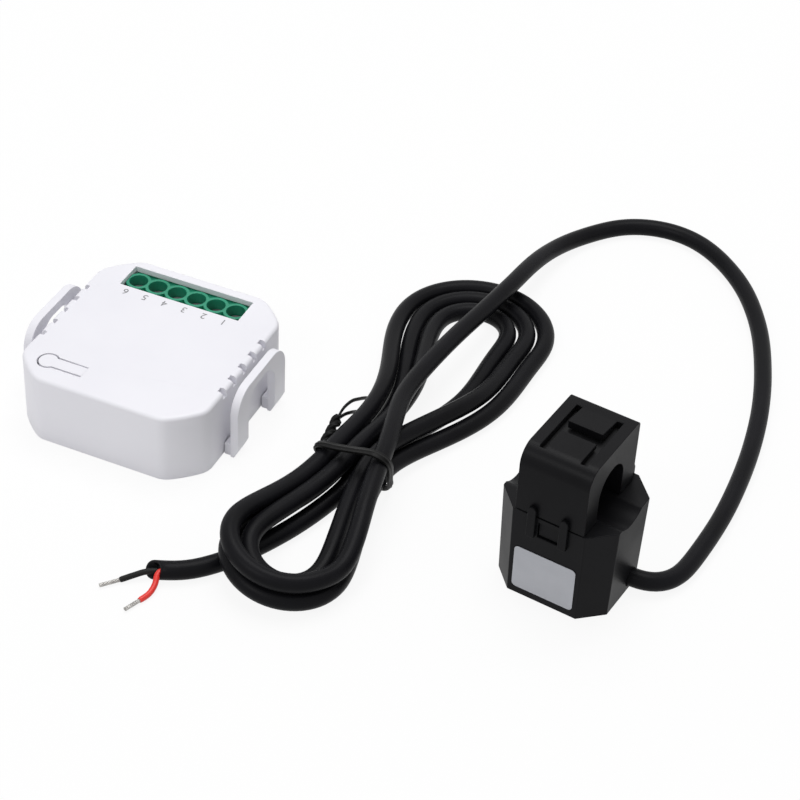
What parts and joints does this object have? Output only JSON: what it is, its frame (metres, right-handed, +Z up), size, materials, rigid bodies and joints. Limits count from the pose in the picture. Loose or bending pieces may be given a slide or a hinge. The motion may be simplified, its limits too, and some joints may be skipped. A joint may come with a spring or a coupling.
{
  "type": "smart energy monitor",
  "caption": "Square metering module with clipped corners, screw terminals, a press tab and spring side clips, with a hinged clip-on current transformer on a coiled cable.",
  "frame": {"origin": "centre of the metering module's base, on the surface it stands on", "axes": "+X along the terminal row towards the current transformer, +Y towards the wire entries, +Z up"},
  "size_m": [0.1608, 0.1828, 0.0401],
  "materials": {
    "white_plastic": "satin moulded case",
    "green_plastic": "satin terminal block",
    "black_plastic": "fine matte moulding",
    "black_part": "component bodies",
    "label_silver": "bare silver-grey sticker",
    "steel": "plated",
    "brass": "plated contact metal",
    "board_green": "solder mask",
    "board_blue": "solder mask",
    "tape_yellow": "winding tape on ferrite",
    "disc_blue": "dipped disc",
    "body_tan": "coated resistor",
    "led_clear": "clear lens",
    "ferrite": "ground faces",
    "bobbin_white": "moulded former",
    "copper": "enamelled wire",
    "cable_black": "semi-gloss soft PVC",
    "wire_red": "soft PVC",
    "tinned": "tinned strands"
  },
  "bodies": {
    "monitor": {"housing_shell": "white_plastic", "base_cover": "white_plastic", "terminal_block": "green_plastic", "terminal_pins": "brass", "main_board": "board_green", "radio_board": "board_blue", "radio_shield": "steel", "mains_transformer": "tape_yellow", "filter_capacitors": "black_part", "varistor": "disc_blue", "fuse_resistor": "body_tan", "bridge_rectifier": "black_part", "metering_chip": "black_part", "power_chip": "black_part", "status_led": "led_clear", "tact_switch": "black_part", "ct_case": "black_plastic", "ct_base_plate": "black_plastic", "ct_hinge_pin": "steel", "lower_core": "ferrite", "coil_bobbin": "bobbin_white", "coil_winding": "copper", "ct_label": "label_silver", "cable_lead": "cable_black", "cable_hank": "cable_black", "cable_tail": "cable_black", "wire_black": "cable_black", "wire_red": "wire_red", "wire_tips": "tinned", "twist_tie": "black_plastic"},
    "button": {"button_tab": "white_plastic"},
    "plunger": {"switch_plunger": "black_part"},
    "clip_left": {"side_clip_left": "white_plastic"},
    "clip_right": {"side_clip_right": "white_plastic"},
    "jaw": {"ct_jaw": "black_plastic", "upper_core": "ferrite"},
    "latch": {"ct_latch": "black_plastic"},
    "screw_1": {"terminal_screw_1": "steel"},
    "screw_2": {"terminal_screw_2": "steel"},
    "screw_3": {"terminal_screw_3": "steel"},
    "screw_4": {"terminal_screw_4": "steel"},
    "screw_5": {"terminal_screw_5": "steel"},
    "screw_6": {"terminal_screw_6": "steel"},
    "cage_1": {"terminal_cage_1": "brass"},
    "cage_2": {"terminal_cage_2": "brass"},
    "cage_3": {"terminal_cage_3": "brass"},
    "cage_4": {"terminal_cage_4": "brass"},
    "cage_5": {"terminal_cage_5": "brass"},
    "cage_6": {"terminal_cage_6": "brass"}
  },
  "joints": [
    {"name": "button_press", "type": "hinge", "parent": "monitor", "child": "button", "pos_m": [-0.0073, -0.0179, 0.0166], "axis": [0, -1, 0], "range_deg": [0, 4.02], "stiffness_Nm_per_rad": 0.0005},
    {"name": "plunger_press", "type": "slide", "parent": "monitor", "child": "plunger", "axis": [0, 0, -1], "range_m": [0, 0.00063], "stiffness_N_per_m": 25},
    {"name": "clip_left_flex", "type": "hinge", "parent": "monitor", "child": "clip_left", "pos_m": [-0.0237, 0.0008, 0.0016], "axis": [0, 1, 0], "range_deg": [0, 5], "stiffness_Nm_per_rad": 0.3},
    {"name": "clip_right_flex", "type": "hinge", "parent": "monitor", "child": "clip_right", "pos_m": [0.0237, 0.0008, 0.0016], "axis": [0, -1, 0], "range_deg": [0, 5], "stiffness_Nm_per_rad": 0.3},
    {"name": "ct_jaw_open", "type": "hinge", "parent": "monitor", "child": "jaw", "pos_m": [0.10788, -0.00159, 0.0251], "axis": [-0.991, 0.134, 0], "range_deg": [0, 105]},
    {"name": "ct_latch_press", "type": "hinge", "parent": "jaw", "child": "latch", "pos_m": [0.10508, -0.0223, 0.0249], "axis": [0.991, -0.134, 0], "range_deg": [0, 6], "stiffness_Nm_per_rad": 0.02},
    {"name": "screw_1_turn", "type": "hinge", "parent": "monitor", "child": "screw_1", "pos_m": [-0.0137, 0.0183, 0.0125], "axis": [0, 0, -1], "range_deg": [0, 1080.2]},
    {"name": "cage_1_rise", "type": "slide", "parent": "monitor", "child": "cage_1", "axis": [0, 0, 1], "range_m": [0, 0.0015]},
    {"name": "screw_2_turn", "type": "hinge", "parent": "monitor", "child": "screw_2", "pos_m": [-0.00862, 0.0183, 0.0125], "axis": [0, 0, -1], "range_deg": [0, 1080.2]},
    {"name": "cage_2_rise", "type": "slide", "parent": "monitor", "child": "cage_2", "axis": [0, 0, 1], "range_m": [0, 0.0015]},
    {"name": "screw_3_turn", "type": "hinge", "parent": "monitor", "child": "screw_3", "pos_m": [-0.00354, 0.0183, 0.0125], "axis": [0, 0, -1], "range_deg": [0, 1080.2]},
    {"name": "cage_3_rise", "type": "slide", "parent": "monitor", "child": "cage_3", "axis": [0, 0, 1], "range_m": [0, 0.0015]},
    {"name": "screw_4_turn", "type": "hinge", "parent": "monitor", "child": "screw_4", "pos_m": [0.00154, 0.0183, 0.0125], "axis": [0, 0, -1], "range_deg": [0, 1080.2]},
    {"name": "cage_4_rise", "type": "slide", "parent": "monitor", "child": "cage_4", "axis": [0, 0, 1], "range_m": [0, 0.0015]},
    {"name": "screw_5_turn", "type": "hinge", "parent": "monitor", "child": "screw_5", "pos_m": [0.00662, 0.0183, 0.0125], "axis": [0, 0, -1], "range_deg": [0, 1080.2]},
    {"name": "cage_5_rise", "type": "slide", "parent": "monitor", "child": "cage_5", "axis": [0, 0, 1], "range_m": [0, 0.0015]},
    {"name": "screw_6_turn", "type": "hinge", "parent": "monitor", "child": "screw_6", "pos_m": [0.0117, 0.0183, 0.0125], "axis": [0, 0, -1], "range_deg": [0, 1080.2]},
    {"name": "cage_6_rise", "type": "slide", "parent": "monitor", "child": "cage_6", "axis": [0, 0, 1], "range_m": [0, 0.0015]}
  ],
  "couplings": [
    {"joint": "button_press", "follows": "plunger_press", "rad_per_m": 111.11},
    {"joint": "screw_1_turn", "follows": "cage_1_rise", "rad_per_m": 12566},
    {"joint": "screw_2_turn", "follows": "cage_2_rise", "rad_per_m": 12566},
    {"joint": "screw_3_turn", "follows": "cage_3_rise", "rad_per_m": 12566},
    {"joint": "screw_4_turn", "follows": "cage_4_rise", "rad_per_m": 12566},
    {"joint": "screw_5_turn", "follows": "cage_5_rise", "rad_per_m": 12566},
    {"joint": "screw_6_turn", "follows": "cage_6_rise", "rad_per_m": 12566}
  ]
}
